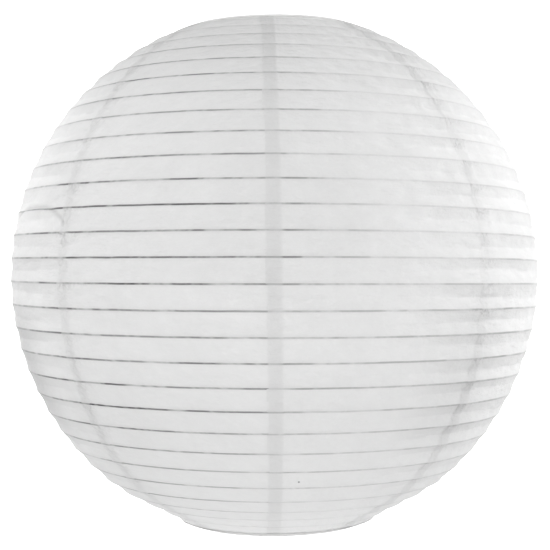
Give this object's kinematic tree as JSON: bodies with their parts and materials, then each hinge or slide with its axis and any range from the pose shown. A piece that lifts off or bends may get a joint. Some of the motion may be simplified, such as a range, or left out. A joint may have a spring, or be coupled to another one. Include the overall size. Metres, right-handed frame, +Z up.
{
  "type": "paper lantern",
  "caption": "Round white accordion paper lantern: paper gores over a spiral wire rib, wire rings at both openings and a wire expander with a hanging eye.",
  "frame": {"origin": "middle of the shade, on the axis, halfway between the two ring planes", "axes": "+Z up along the shade's axis towards the hanging eye; the front seam faces -Y; the expander's frame lies in the XZ plane"},
  "size_m": [0.4006, 0.4006, 0.3788],
  "materials": {
    "shade_paper": "matt, finely fibrous",
    "hem_paper": "matt",
    "rib_wire": "dull drawn wire",
    "ring_wire": "bright zinc-plated wire",
    "frame_wire": "bright zinc-plated wire"
  },
  "bodies": {
    "expander": {"leg_left": "frame_wire", "leg_right": "frame_wire", "top_bar": "frame_wire", "foot_bar": "frame_wire"},
    "shade": {"gore_1": "shade_paper", "gore_2": "shade_paper", "gore_3": "shade_paper", "gore_4": "shade_paper", "gore_5": "shade_paper", "gore_6": "shade_paper", "gore_7": "shade_paper", "gore_8": "shade_paper", "spiral_rib": "rib_wire", "top_ring": "ring_wire", "top_hem": "hem_paper"},
    "bottom_mouth": {"bottom_ring": "ring_wire", "bottom_hem": "hem_paper"}
  },
  "joints": [
    {"name": "shade_off", "type": "slide", "parent": "expander", "child": "shade", "axis": [0, 0, 1], "range_m": [0, 0.4]},
    {"name": "collapse", "type": "slide", "parent": "shade", "child": "bottom_mouth", "axis": [0, 0, 1], "range_m": [0, 0.334], "deforming": ["gore_1", "gore_2", "gore_3", "gore_4", "gore_5", "gore_6", "gore_7", "gore_8", "spiral_rib"]}
  ]
}
